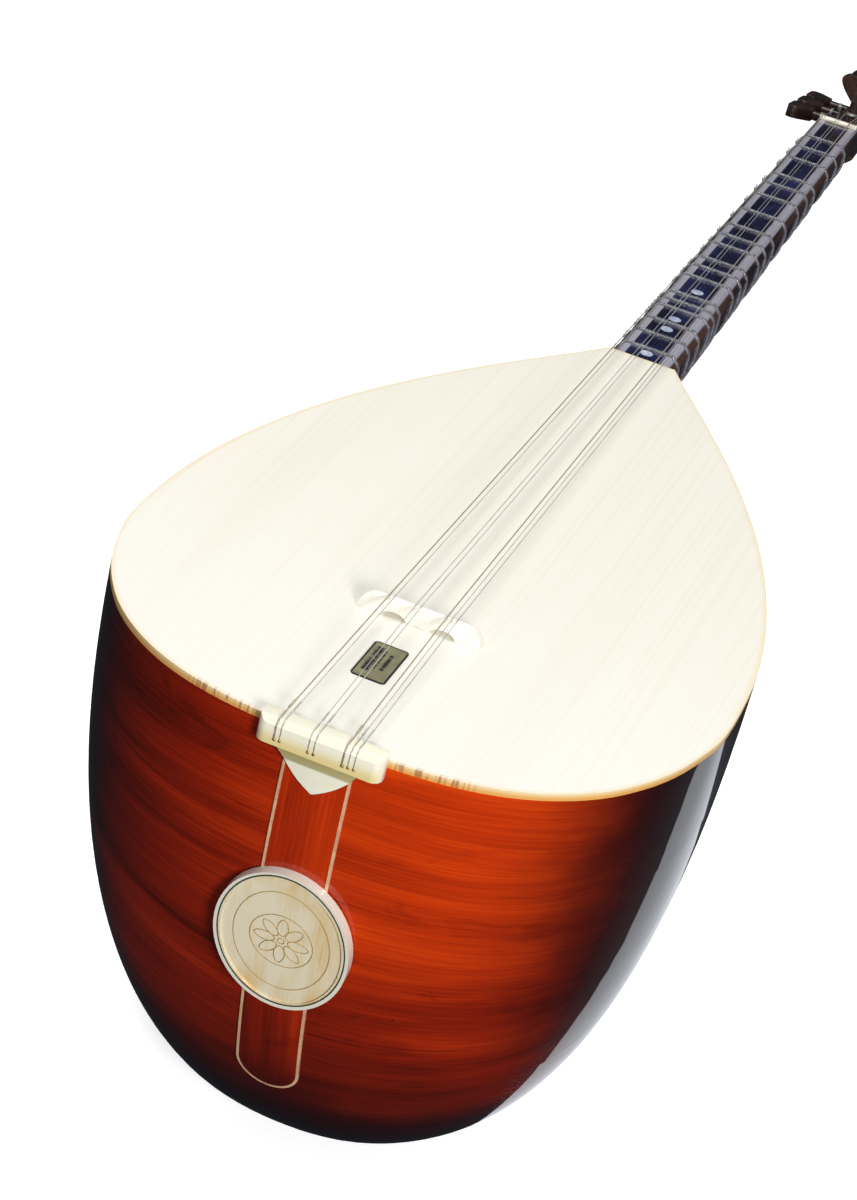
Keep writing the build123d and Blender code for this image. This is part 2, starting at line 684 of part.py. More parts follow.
def strings():
    """Each string from the tailpiece's front, over its crown, the bridge and the nut to its peg."""
    front = TAIL_Y - TAILPIECE_OVERHANG
    back = TAIL_Y + TAILPIECE_ON_BOARD
    crown = TOP_Z + TAILPIECE_RISE
    for index, end in enumerate(string_ends()):
        radius = STRING_RADIUS[index]
        off = radius + STRING_LIFT
        x_tail = STRING_AT_TAILPIECE[index]
        route = [
            (x_tail, front - off, crown - 2.5 - TAILPIECE_DROP * 0.7),
            (x_tail, front - off, crown - 2.3),
            (x_tail, front + 1.8, crown + off),
            (x_tail, back - 1.5, crown + off),
            (STRING_AT_BRIDGE[index], BRIDGE_Y, TOP_Z + BRIDGE_HEIGHT + radius + STRING_LIFT_AT_BRIDGE),
            (STRING_AT_NUT[index], NUT_Y, TOP_Z + NUT_HEIGHT + radius + STRING_LIFT_AT_NUT),
            tuple(end),
        ]
        with BuildPart() as string:
            with BuildLine() as line:
                FilletPolyline(*route, radius=STRING_BEND_RADIUS)
            with BuildSketch(Plane(origin=line.line @ 0, z_dir=line.line % 0)):
                Circle(radius)
            sweep(path=line.line)
        save(string.part, f"string_{index + 1}")


bowl_pieces()
inner_blocks()
soundboard()
tail_strap()
medallion()
tailpiece()
label_plate()
bridge()
neck()
nut()
frets()
head()
pegs()
strings()
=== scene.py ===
"""A short-necked baglama saz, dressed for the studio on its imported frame.

Every length is in metres, in the frame's own axes: +Y from the tail to the head, +Z out of the
soundboard.
"""
import json
import logging
from dataclasses import dataclass, field
from enum import Enum
from math import cos, pi, radians, sin

import bpy
from mathutils import Matrix, Vector


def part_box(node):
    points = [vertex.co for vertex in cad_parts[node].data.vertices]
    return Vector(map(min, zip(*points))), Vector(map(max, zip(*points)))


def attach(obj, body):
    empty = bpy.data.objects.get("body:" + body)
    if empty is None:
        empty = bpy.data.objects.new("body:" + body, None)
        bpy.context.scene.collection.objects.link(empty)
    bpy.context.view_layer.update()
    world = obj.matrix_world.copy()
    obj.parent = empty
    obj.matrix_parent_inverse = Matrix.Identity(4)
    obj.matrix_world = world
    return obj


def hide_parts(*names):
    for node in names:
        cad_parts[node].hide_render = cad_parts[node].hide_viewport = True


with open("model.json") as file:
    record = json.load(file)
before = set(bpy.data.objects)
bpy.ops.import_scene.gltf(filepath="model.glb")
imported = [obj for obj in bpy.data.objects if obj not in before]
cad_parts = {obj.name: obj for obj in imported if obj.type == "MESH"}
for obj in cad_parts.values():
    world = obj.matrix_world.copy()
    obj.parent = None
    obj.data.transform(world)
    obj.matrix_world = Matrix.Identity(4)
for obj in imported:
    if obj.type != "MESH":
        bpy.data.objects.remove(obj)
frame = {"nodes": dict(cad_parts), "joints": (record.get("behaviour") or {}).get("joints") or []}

LOG = logging.getLogger("saz")
MM = 0.001
MERGE_DISTANCE = 1e-6
Colour = tuple[float, float, float]
WHITE: Colour = (1.0, 1.0, 1.0)


# ---- shader graphs ------------------------------------------------------------------------------


class Shade:
    """One output socket of a material's graph, used in plain arithmetic."""

    def __init__(self, graph: "Graph", socket: bpy.types.NodeSocket) -> None:
        """Wrap a socket.

        Args:
            graph: The graph that new nodes are added to.
            socket: The output socket.
        """
        self.graph = graph
        self.socket = socket

    def __add__(self, other: "Shade | float") -> "Shade":
        """Add."""
        return self.graph.math("ADD", self, other)

    def __sub__(self, other: "Shade | float") -> "Shade":
        """Subtract."""
        return self.graph.math("SUBTRACT", self, other)

    def __rsub__(self, other: float) -> "Shade":
        """Subtract from a number."""
        return self.graph.math("SUBTRACT", other, self)

    def __mul__(self, other: "Shade | float") -> "Shade":
        """Multiply."""
        return self.graph.math("MULTIPLY", self, other)

    def __truediv__(self, other: "Shade | float") -> "Shade":
        """Divide."""
        return self.graph.math("DIVIDE", self, other)

    def __pow__(self, other: float) -> "Shade":
        """Raise to a power."""
        return self.graph.math("POWER", self, other)

    def __abs__(self) -> "Shade":
        """Drop the sign."""
        return self.graph.math("ABSOLUTE", self, 0.0)

    __radd__ = __add__
    __rmul__ = __mul__


class Graph:
    """The nodes of one material, or of the world."""

    def __init__(self, name: str, owner: bpy.types.World | None = None) -> None:
        """Start with no nodes.

        Args:
            name: The name of the material, when there is no owner.
            owner: The world, when the nodes are for it.
        """
        self.owner = owner or bpy.data.materials.new(name)
        self.owner.use_nodes = True
        self.tree = self.owner.node_tree
        self.tree.nodes.clear()

    def node(self, kind: str, settings: dict | None = None, sockets: dict | None = None,
             output: int | str = 0) -> Shade | None:
        """Add one node.

        Args:
            kind: The node's type, such as "ShaderNodeMath".
            settings: The node's own settings, and a ramp's "stops".
            sockets: Values or links for its inputs, by name or number.
            output: The output to hand back.

        Returns:
            The chosen output, or nothing from a node that has none.
        """
        made = self.tree.nodes.new(kind)
        for name, value in (settings or {}).items():
            if name == "stops":
                ramp = made.color_ramp
                while len(ramp.elements) < len(value):
                    ramp.elements.new(0.5)
                for element, (place, colour) in zip(ramp.elements, value):
                    element.position = place
                    element.color = (*colour, 1.0)
            else:
                setattr(made, name, value)
        for name, value in (sockets or {}).items():
            if isinstance(value, Shade):
                self.tree.links.new(value.socket, made.inputs[name])
            elif isinstance(value, tuple) and made.inputs[name].type == "RGBA":
                made.inputs[name].default_value = (*value, 1.0)
            else:
                made.inputs[name].default_value = value
        return Shade(self, made.outputs[output]) if made.outputs else None

    def math(self, operation: str, first: "Shade | float", second: "Shade | float" = 0.0) -> Shade:
        """Join two values by one operation of the Math node."""
        return self.node("ShaderNodeMath", {"operation": operation}, {0: first, 1: second})

    def place(self) -> tuple[Shade, Shade, Shade]:
        """Give the point's X, Y and Z in the frame."""
        at = self.node("ShaderNodeTexCoord", output="Object")
        split = self.node("ShaderNodeSeparateXYZ", None, {0: at}).socket.node
        return tuple(Shade(self, split.outputs[i]) for i in range(3))

    def facing(self, axis: int) -> Shade:
        """Give one part of the surface's direction, 0 for X, 1 for Y, 2 for Z."""
        normal = self.node("ShaderNodeNewGeometry", output="Normal")
        return self.node("ShaderNodeSeparateXYZ", None, {0: normal}, axis)

    def vector(self, x: "Shade | float", y: "Shade | float", z: "Shade | float") -> Shade:
        """Join three values into a vector."""
        return self.node("ShaderNodeCombineXYZ", None, {0: x, 1: y, 2: z})

    def noise(self, at: Shade, detail: float = 3.0, distortion: float = 0.0, rough: float = 0.5) -> Shade:
        """Give smooth noise, about 0.3 to 0.7, one cell to a unit of the vector."""
        return self.node("ShaderNodeTexNoise", None, {
            "Vector": at, "Scale": 1.0, "Detail": detail, "Distortion": distortion, "Roughness": rough})

    def step(self, value: "Shade", low: float, high: float) -> Shade:
        """Rise smoothly from 0 at low to 1 at high."""
        return self.node("ShaderNodeMapRange", {"interpolation_type": "SMOOTHSTEP"},
                         {"Value": value, "From Min": low, "From Max": high})

    def line(self, value: Shade, centre: float, half: float) -> Shade:
        """Give 1 on a thin line where the value is near its centre, and 0 off it."""
        return 1 - self.step(abs(value - centre), half * 0.6, half * 1.4)

    def mix(self, share: "Shade | float", first: "Shade | Colour", second: "Shade | Colour") -> Shade:
        """Blend two colours."""
        return self.node("ShaderNodeMix", {"data_type": "RGBA"}, {0: share, 6: first, 7: second}, 2)

    def ramp(self, value: Shade, *stops: tuple[float, Colour]) -> Shade:
        """Colour a value by a ramp's stops."""
        return self.node("ShaderNodeValToRGB", {"stops": stops}, {0: value})

    def bump(self, height: Shade, depth: float) -> Shade:
        """Tilt the surface by a height of the given depth in metres."""
        return self.node("ShaderNodeBump", None, {"Height": height, "Distance": depth, "Strength": 1.0})

    def shader(self, sockets: dict) -> bpy.types.Material:
        """Close the graph with a Principled shader.

        Args:
            sockets: Values or links for the shader's inputs.

        Returns:
            The finished material.
        """
        surface = self.node("ShaderNodeBsdfPrincipled", None, sockets)
        self.node("ShaderNodeOutputMaterial", None, {"Surface": surface})
        return self.owner


# ---- finishes -----------------------------------------------------------------------------------


class Grain(Enum):
    """Which way the lacquered wood runs."""

    ROUND_THE_TAIL = 1
    DOWN_THE_STRAP = 2


@dataclass(frozen=True)
class BurstLacquer:
    """Red-brown lacquered wood that darkens from the tail's middle to the edges, with painted light warming
    its right side near the rim.
    """

    name: str
    grain: Grain
    glow: Colour = (0.80, 0.075, 0.002)
    heart: Colour = (0.56, 0.036, 0.001)
    body: Colour = (0.27, 0.012, 0.0008)
    shadow: Colour = (0.050, 0.0032, 0.0008)
    edge: Colour = (0.010, 0.0015, 0.0026)
    seam_axis_y: float = 0.370
    rim_z: float = 0.249
    stave_angle: float = radians(7.0)
    strap_tone: float = 3.0
    pit: Colour = (0.008, 0.002, 0.002)

    def material(self) -> bpy.types.Material:
        """Build the lacquer."""
        g = Graph(self.name)
        x, y, z = g.place()
        seam = g.math("ARCTAN2", self.rim_z - z, self.seam_axis_y - y)
        if self.grain is Grain.ROUND_THE_TAIL:
            fibre_at = g.vector(x * 26, y * 26, seam * 520)
            streak_at = g.vector(x * 5, y * 5, seam * 30)
            stave = g.math("FLOOR", seam / self.stave_angle) + g.math("GREATER_THAN", x, 0.0) * 7
        else:
            fibre_at = g.vector(x * 900, y * 24, z * 24)
            streak_at = g.vector(x * 80, y * 5, z * 5)
            stave = self.strap_tone
        fibre = g.noise(fibre_at, 4)
        streak = g.noise(streak_at, 4, 0.5)
        cloud = g.noise(g.vector(x * 24, y * 24, z * 24), 3)
        smudge = g.noise(g.vector(x * 38, y * 38, z * 90), 2, 1.0)
        tone = g.node("ShaderNodeTexWhiteNoise", {"noise_dimensions": "1D"}, {"W": stave})
        depth = self.rim_z + 0.003 - z
        wobble = (cloud - 0.5) * 0.022
        aside = g.step(abs(x) + wobble, 0.050, 0.134)
        below = g.step(depth + wobble, 0.115, 0.240)
        beyond = g.step(y, -0.055, 0.060)
        burst = g.math("MAXIMUM", g.math("MAXIMUM", aside, below), beyond)
        back = g.step(y, 0.02, 0.09) * (1 - g.step(y, 0.16, 0.27)) * (1 - g.step(abs(x), 0.01, 0.075))
        burst = burst * (1 - back * (1 - g.step(z, 0.03, 0.13)) * 0.42)
        # Painted light: the right side and the part near the rim are warmed, as if lit from the upper right.
        lift = g.step(x, -0.075, 0.035) * (1 - g.step(depth, 0.02, 0.19)) * 0.44
        warmth = (streak - 0.5) * 0.95 + (tone - 0.5) * 0.16 + (fibre - 0.5) * 0.46 + 0.25 + lift
        warmth = warmth - g.step(smudge, 0.58, 0.74) * 0.09
        wood = g.ramp(warmth, (0.0, self.shadow), (0.36, self.body), (0.70, self.heart), (1.0, self.glow))
        colour = g.mix(g.step(burst, 0.0, 0.9) * 0.80, wood, self.shadow)
        colour = g.mix(g.step(burst, 0.40, 1.0), colour, self.edge)
        specks = g.node("ShaderNodeTexVoronoi", {"feature": "F1"}, {
            "Vector": g.vector(x * 42, y * 42, z * 42), "Scale": 1.0, "Randomness": 1.0}, "Distance")
        pits = (1 - g.step(specks, 0.026, 0.036)) * g.step(cloud, 0.50, 0.56)
        colour = g.mix(pits, colour, self.pit)
        height = fibre * 0.25 + cloud * 0.4 - pits
        return g.shader({
            "Base Color": colour, "Roughness": 0.5 - fibre * 0.1, "Coat Weight": 1.0,
            "Coat Roughness": 0.03, "Coat IOR": 1.5, "Specular IOR Level": 0.06,
            "Normal": g.bump(height, 0.00006)})


@dataclass(frozen=True)
class SpruceTop:
    """Pale spruce with fine lengthwise grain and an amber edge."""

    name: str = "spruce_top"
    pale: Colour = (0.92, 0.885, 0.775)
    line: Colour = (0.84, 0.77, 0.61)
    amber: Colour = (0.78, 0.36, 0.06)
    tick: Colour = (0.34, 0.10, 0.03)
    washed: Colour = (0.85, 0.82, 0.67)
    tail_pale: Colour = (0.93, 0.92, 0.86)
    rim_amber: Colour = (0.90, 0.66, 0.30)
    side_pale: Colour = (0.90, 0.74, 0.42)
    top_z: float = 0.252
    tail_y: float = -0.110
    widest: float = 0.122
    taper: float = 0.298
    half_width: float = 0.130
    heel: float = 0.017

    def near_edge(self, g: Graph, x: Shade, y: Shade) -> Shade:
        """Rise from 0 to 1 over the last two millimetres before the outline."""
        along = y - self.tail_y
        before = (self.widest - along) / self.widest
        after = (along - self.widest) / self.taper
        wide = g.math("MAXIMUM", (abs(x) - self.heel) / (self.half_width - self.heel), 0.0)
        tail_half = (abs(x) / self.half_width) ** 2.8 + before * before
        neck_half = wide ** 0.917 + after * after
        late = g.math("GREATER_THAN", along, self.widest)
        return g.step(tail_half, 0.955, 0.998) * (1 - late) + g.step(neck_half, 0.975, 0.998) * late

    def material(self) -> bpy.types.Material:
        """Build the soundboard's wood."""
        g = Graph(self.name)
        x, y, z = g.place()
        drift = g.noise(g.vector(x * 20, y * 3, 0.0), 2)
        rings = g.noise(g.vector((x + drift * 0.004) * 620, y * 2.2, z * 3), 2, 0.0, 0.4)
        fibre = g.noise(g.vector(x * 3200, y * 30, z * 10), 2)
        wash = g.noise(g.vector(x * 26, y * 2.6, 0.0), 3)
        late = g.math("MAXIMUM", g.step(rings, 0.52, 0.68) * 0.34 + (fibre - 0.5) * 0.30, 0.0)
        colour = g.mix(late, self.pale, self.line)
        colour = g.mix(g.step(wash, 0.48, 0.70) * 0.32, colour, self.washed)
        colour = g.mix(g.step(0.10 - y, 0.0, 0.16) * 0.35, colour, self.tail_pale)
        rim = self.near_edge(g, x, y)
        colour = g.mix(rim * 0.42, colour, self.rim_amber)
        side = 1 - g.step(abs(g.facing(2)), 0.45, 0.75)
        depth = g.step(self.top_z - z, 0.0, 0.0024)
        ends = g.noise(g.vector(x * 1000, y * 60, z * 90), 1)
        beside = g.line(abs(x), 0.042, 0.014) * (1 - g.step(y, -0.10, -0.08))
        ticks = g.step(ends, 0.52, 0.60) * beside
        band = g.mix(depth * 0.75 + 0.15, self.side_pale, self.amber)
        band = g.mix(ticks * 0.5, band, self.tick)
        colour = g.mix(side, colour, band)
        colour = g.mix(ticks * rim * 0.35, colour, self.tick)
        return g.shader({
            "Base Color": colour, "Roughness": 0.46 + late * 0.12, "Coat Weight": 0.2,
            "Coat Roughness": 0.3, "Normal": g.bump(rings * 0.6 + fibre * 0.4, 0.00002)})


@dataclass(frozen=True)
class PlainWood:
    """Any straight-grained wood, from bare to lacquered."""

    name: str
    light: Colour
    dark: Colour
    roughness: float = 0.45
    coat: float = 0.0
    across: float = 700.0
    along: float = 14.0

    def material(self) -> bpy.types.Material:
        """Build the wood, its grain along Y."""
        g = Graph(self.name)
        x, y, z = g.place()
        fibre = g.noise(g.vector(x * self.across, y * self.along, z * self.across), 3)
        figure = g.noise(g.vector(x * 80, y * 9, z * 80), 3, 0.8)
        share = fibre * 0.55 + figure * 0.75 - 0.15
        return g.shader({
            "Base Color": g.mix(g.step(share, 0.3, 0.7), self.dark, self.light),
            "Roughness": self.roughness + (fibre - 0.5) * 0.15, "Coat Weight": self.coat,
            "Coat Roughness": 0.06, "Normal": g.bump(fibre, 0.00003)})


@dataclass(frozen=True)
class NeckWood:
    """Dark neck wood with a painted highlight: a pale strip each side of the fingerboard stands in for the
    light off the neck's edges.
    """

    name: str = "neck_wood"
    dark: Colour = (0.020, 0.010, 0.011)
    brown: Colour = (0.085, 0.040, 0.030)
    # The next two colours are painted highlight: the light off the neck's edges, laid on as pale lavender
    # strips.
    pale: Colour = (0.40, 0.38, 0.47)
    sheen_grey: Colour = (0.52, 0.50, 0.56)
    groove: Colour = (0.02, 0.015, 0.02)
    strip: float = 0.0016
    top_z: float = 0.252
    flat_at_joint: float = 0.0122
    flat_at_nut: float = 0.01036
    joint_y: float = 0.310
    nut_y: float = 0.735

    def material(self) -> bpy.types.Material:
        """Build the neck's finish."""
        g = Graph(self.name)
        x, y, z = g.place()
        fibre = g.noise(g.vector(x * 700, y * 12, z * 700), 3)
        figure = g.noise(g.vector(x * 70, y * 9, z * 70), 3, 0.8)
        wood = g.mix(g.step(fibre * 0.5 + figure * 0.6, 0.42, 0.68), self.dark, self.brown)
        along = g.step(y, self.joint_y, self.nut_y)
        flat = self.flat_at_joint - along * (self.flat_at_joint - self.flat_at_nut)
        near_top = g.step(z, self.top_z - 0.0022, self.top_z - 0.0018)
        # Mask of the painted highlight strips along the fingerboard's sides.
        edge = g.step(flat + self.strip - abs(x), -0.0001, 0.0001) * near_top
        upper = g.step(z, self.top_z - 0.003, self.top_z - 0.0022)
        line = g.line(abs(x) - flat - 0.0014, 0.0, 0.0002) * upper
        pale = g.mix(fibre, self.pale, self.sheen_grey)
        colour = g.mix(edge * g.step(self.nut_y + 0.0001 - y, 0.0, 0.0002), wood, pale)
        colour = g.mix(line * 0.6, colour, self.groove)
        return g.shader({
            "Base Color": colour, "Roughness": 0.35, "Coat Weight": 0.8, "Coat Roughness": 0.08,
            "Normal": g.bump(fibre, 0.00002)})


@dataclass(frozen=True)
class Bone:
    """Polished bone, yellower in its pores, with painted shade on the bar's lower front and on the faces
    that look down.
    """

    name: str = "bone"
    pale: Colour = (0.95, 0.91, 0.74)
    # The yellow and the olive here are painted shade: the bar's lower front and the faces that look down.
    yellow: Colour = (0.84, 0.66, 0.22)
    olive: Colour = (0.42, 0.32, 0.03)
    clouded: Colour = (0.90, 0.82, 0.58)
    pore: Colour = (0.72, 0.58, 0.32)
    bar_top: float = 0.2515
    bar_bottom: float = 0.2435
    chin_level: float = 0.2375

    def material(self) -> bpy.types.Material:
        """Build the bone."""
        g = Graph(self.name)
        x, y, z = g.place()
        pores = g.noise(g.vector(x * 260, y * 1400, z * 1400), 2)
        cloud = g.noise(g.vector(x * 90, y * 90, z * 90), 2)
        down = g.facing(2)
        outward = 0.0 - g.facing(1)
        colour = g.mix(cloud * 0.25, self.pale, self.clouded)
        low = g.step(self.bar_top - z, 0.0, 0.006) * g.step(z, self.bar_bottom, self.bar_bottom + 0.0011)
        # Painted shade: the lower part of the bar's front face is tinted yellow.
        colour = g.mix(g.step(outward, 0.35, 1.0) * low * 0.8, colour, self.yellow)
        # Painted shade: faces that look down, above the chin's level, are tinted olive.
        under = g.step(z, self.chin_level, self.chin_level + 0.001)
        colour = g.mix(g.step(0.0 - down, 0.15, 0.5) * under, colour, self.olive)
        colour = g.mix(g.step(pores, 0.63, 0.72) * 0.35, colour, self.pore)
        return g.shader({
            "Base Color": colour, "Roughness": 0.24, "Coat Weight": 0.5, "Coat Roughness": 0.1,
            "Subsurface Weight": 0.12, "Subsurface Scale": 0.002, "Normal": g.bump(pores, 0.00002)})


@dataclass(frozen=True)
class PaleMaple:
    """Cream maple with soft cross figure, and a dark hairline let in near the medallion's edge."""

    name: str
    middle: Vector
    half_width: float
    half_length: float
    cream: Colour = (0.82, 0.64, 0.36)
    gold: Colour = (0.78, 0.47, 0.14)
    white: Colour = (0.88, 0.79, 0.58)
    rim: Colour = (0.86, 0.82, 0.70)
    hairline: Colour = (0.020, 0.045, 0.022)

    def material(self) -> bpy.types.Material:
        """Build the maple."""
        g = Graph(self.name)
        x, y, z = g.place()
        figure = g.noise(g.vector(x * 60, y * 40, z * 22), 3, 0.5)
        fibre = g.noise(g.vector(x * 1300, y * 100, z * 40), 2)
        flame = g.noise(g.vector(x * 170, y * 10, z * 12), 1)
        figured = figure + (fibre - 0.5) * 0.25
        colour = g.ramp(figured, (0.34, self.gold), (0.46, self.cream), (0.62, self.white))
        colour = g.mix(g.step(flame, 0.5, 0.62) * 0.22, colour, self.white)
        across = (x - self.middle.x) / self.half_width
        along = (z - self.middle.z) / self.half_length
        out = g.math("SQRT", across * across + along * along)
        colour = g.mix(g.step(out, 0.948, 0.956), colour, self.rim)
        colour = g.mix(g.line(out, 0.940, 0.011), colour, self.hairline)
        return g.shader({
            "Base Color": colour, "Roughness": 0.30, "Coat Weight": 0.9, "Coat Roughness": 0.05,
            "Normal": g.bump(fibre, 0.000015)})


@dataclass(frozen=True)
class Metal:
    """Drawn metal with a faint streak."""

    name: str
    colour: Colour
    roughness: float = 0.38
    metallic: float = 0.55
    streak: tuple[float, float, float] = (900.0, 60.0, 900.0)

    def material(self) -> bpy.types.Material:
        """Build the metal."""
        g = Graph(self.name)
        x, y, z = g.place()
        grain = g.noise(g.vector(x * self.streak[0], y * self.streak[1], z * self.streak[2]), 2)
        dull = tuple(0.72 * c for c in self.colour)
        return g.shader({
            "Base Color": g.mix(g.step(grain, 0.3, 0.7), dull, self.colour), "Metallic": self.metallic,
            "Roughness": self.roughness + (grain - 0.5) * 0.25})


@dataclass(frozen=True)
class PrintedPlate:
    """An olive metal plate with a dark border and plain printed bars."""

    name: str
    middle: Vector
    half_width: float
    half_length: float
    olive: Colour = (0.36, 0.33, 0.19)
    worn: Colour = (0.24, 0.22, 0.13)
    ink: Colour = (0.022, 0.022, 0.024)
    bars: tuple[tuple[float, float, float], ...] = (
        (-0.0034, 0.0015, 0.0105), (-0.0006, 0.0005, 0.0090), (0.0024, 0.0008, 0.0070))
    border: float = 0.0009

    def material(self) -> bpy.types.Material:
        """Build the plate."""
        g = Graph(self.name)
        x, y, z = g.place()
        across = x - self.middle.x
        along = y - self.middle.y
        brushed = g.noise(g.vector(x * 60, y * 2200, z * 60), 2)
        blotch = g.noise(g.vector(x * 160, y * 160, 0.0), 3)
        colour = g.mix(g.step(brushed * 0.5 + blotch * 0.5, 0.35, 0.62), self.worn, self.olive)
        ragged = g.noise(g.vector(x * 240, y * 900, 0.0), 1)
        for place, half, reach in self.bars:
            bar = g.line(across, place, half) * (1 - g.step(abs(along - 0.001), reach - 0.0004, reach))
            colour = g.mix(bar * g.step(ragged, 0.36, 0.46), colour, self.ink)
        inward = g.math("MINIMUM", self.half_width - abs(across), self.half_length - abs(along))
        colour = g.mix(1 - g.step(inward, self.border * 0.7, self.border), colour, self.ink)
        return g.shader({"Base Color": colour, "Metallic": 0.35, "Roughness": 0.42 + (brushed - 0.5) * 0.2})


@dataclass(frozen=True)
class Polished:
    """A smooth dark or clear material with a faint cloud in it."""

    name: str
    colour: Colour
    cloud: Colour
    roughness: float = 0.2
    scale: float = 120.0
    coat: float = 0.6
    transmission: float = 0.0

    def material(self) -> bpy.types.Material:
        """Build the material."""
        g = Graph(self.name)
        x, y, z = g.place()
        cloud = g.noise(g.vector(x * self.scale, y * self.scale * 0.4, z * self.scale), 3, 0.6)
        fine = g.noise(g.vector(x * 1500, y * 60, z * 1500), 2)
        share = g.step(cloud + (fine - 0.5) * 0.3, 0.38, 0.68)
        return g.shader({
            "Base Color": g.mix(share, self.colour, self.cloud),
            "Roughness": self.roughness + (fine - 0.5) * 0.06, "Coat Weight": self.coat,
            "Coat Roughness": 0.05, "Transmission Weight": self.transmission, "IOR": 1.5,
            "Normal": g.bump(fine, 0.00001)})


def middle_and_halves(node: str, long_axis: int) -> tuple[Vector, float, float]:
    """Give a node's middle, its half width along X and its half length along another axis."""
    low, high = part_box(node)
    return (low + high) / 2, (high.x - low.x) / 2, (high[long_axis] - low[long_axis]) / 2


@dataclass(frozen=True)
class Finishes:
    """Every finish of the instrument, built once."""

    bowl: bpy.types.Material
    strap: bpy.types.Material
    soundboard: bpy.types.Material
    inner: bpy.types.Material
    pale_line: bpy.types.Material
    maple: bpy.types.Material
    engraving: bpy.types.Material
    bone: bpy.types.Material
    neck: bpy.types.Material
    ebony: bpy.types.Material
    pearl: bpy.types.Material
    bridge: bpy.types.Material
    steel: bpy.types.Material
    bronze: bpy.types.Material
    nylon: bpy.types.Material
    peg: bpy.types.Material
    plate: bpy.types.Material
    brass: bpy.types.Material

    @staticmethod
    def build() -> "Finishes":
        """Build them all."""
        return Finishes(
            bowl=BurstLacquer("bowl_lacquer", Grain.ROUND_THE_TAIL).material(),
            strap=BurstLacquer("strap_lacquer", Grain.DOWN_THE_STRAP).material(),
            soundboard=SpruceTop().material(),
            inner=PlainWood("inner_wood", (0.62, 0.44, 0.26), (0.48, 0.31, 0.17), 0.6).material(),
            pale_line=PlainWood("pale_line", (0.80, 0.50, 0.30), (0.62, 0.33, 0.18), 0.35, 0.8).material(),
            maple=PaleMaple("medallion_maple", *middle_and_halves("medallion_ring", 2)).material(),
            engraving=PlainWood("engraving", (0.55, 0.37, 0.12), (0.40, 0.24, 0.07), 0.5).material(),
            bone=Bone().material(),
            neck=NeckWood().material(),
            # The fingerboard is near-black ebony; the blue in its tint and in its cloud is painted sheen.
            ebony=Polished("fingerboard_ebony_painted_sheen", (0.006, 0.006, 0.022), (0.020, 0.022, 0.085), 0.22, 60.0,
                           0.9).material(),
            pearl=Polished("pearl", (0.46, 0.56, 0.78), (0.86, 0.86, 0.92), 0.14, 420.0, 1.0).material(),
            bridge=PlainWood("bridge_maple", (0.93, 0.90, 0.82), (0.88, 0.84, 0.73), 0.5, 0.2).material(),
            steel=Metal("plain_steel", (0.72, 0.71, 0.67)).material(),
            bronze=Metal("wound_bronze", (0.66, 0.58, 0.44), 0.42, 0.55, (300.0, 2600.0, 300.0)).material(),
            nylon=Polished("nylon_line", (0.50, 0.50, 0.55), (0.62, 0.62, 0.68), 0.20, 300.0, 0.5,
                           0.80).material(),
            peg=PlainWood("peg_ebony", (0.060, 0.028, 0.018), (0.014, 0.008, 0.007), 0.32, 0.6).material(),
            plate=PrintedPlate("printed_plate", *middle_and_halves("label_plate", 1)).material(),
            brass=Metal("pin_brass", (0.55, 0.38, 0.14), 0.3, 0.9).material(),
        )


# ---- modelling helpers --------------------------------------------------------------------------


def select_only(piece: bpy.types.Object) -> None:
    """Make one object the active and only selected one."""
    bpy.ops.object.select_all(action="DESELECT")
    piece.select_set(True)
    bpy.context.view_layer.objects.active = piece


def settle(piece: bpy.types.Object, name: str) -> bpy.types.Object:
    """Turn a piece into a mesh at the origin.

    Args:
        piece: A mesh or curve object.
        name: Its new name.

    Returns:
        The same piece, unturned and unscaled.
    """
    select_only(piece)
    if piece.type != "MESH":
        bpy.ops.object.convert(target="MESH")
        piece = bpy.context.view_layer.objects.active
    bpy.ops.object.transform_apply(location=True, rotation=True, scale=True)
    piece.name = name
    return piece


def apply_modifier(piece: bpy.types.Object, kind: str, settings: dict) -> None:
    """Add one modifier and apply it.

    Args:
        piece: The mesh object.
        kind: The modifier's type.
        settings: Its settings by name.
    """
    select_only(piece)
    added = piece.modifiers.new(kind.lower(), kind)
    for name, value in settings.items():
        setattr(added, name, value)
    bpy.ops.object.modifier_apply(modifier=added.name)


def smooth(piece: bpy.types.Object, angle: float = 35.0) -> None:
    """Shade a piece smooth up to an angle in degrees."""
    select_only(piece)
    bpy.ops.object.shade_smooth_by_angle(angle=radians(angle))


def dress(piece: bpy.types.Object, material: bpy.types.Material) -> None:
    """Give a piece one finish all over."""
    if not piece.material_slots:
        piece.data.materials.append(material)
    for slot in piece.material_slots:
        slot.material = material


def dress_nodes(names: list[str], material: bpy.types.Material) -> None:
    """Give several nodes of the frame one finish."""
    for name in names:
        dress(frame["nodes"][name], material)


def mount(piece: bpy.types.Object, body: str) -> bpy.types.Object:
    """Hand a finished piece to its body."""
    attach(piece, body)
    LOG.info("%s rides on %s", piece.name, body)
    return piece


def copied(node: str, name: str) -> bpy.types.Object:
    """Copy a node's mesh into a new object and merge its loose triangles.

    Args:
        node: The node to copy.
        name: The copy's name.

    Returns:
        The new object.
    """
    piece = bpy.data.objects.new(name, frame["nodes"][node].data.copy())
    bpy.context.scene.collection.objects.link(piece)
    select_only(piece)
    bpy.ops.object.mode_set(mode="EDIT")
    bpy.ops.mesh.select_all(action="SELECT")
    bpy.ops.mesh.remove_doubles(threshold=MERGE_DISTANCE)
    bpy.ops.mesh.dissolve_limited(angle_limit=radians(1.0))
    bpy.ops.object.mode_set(mode="OBJECT")
    return piece


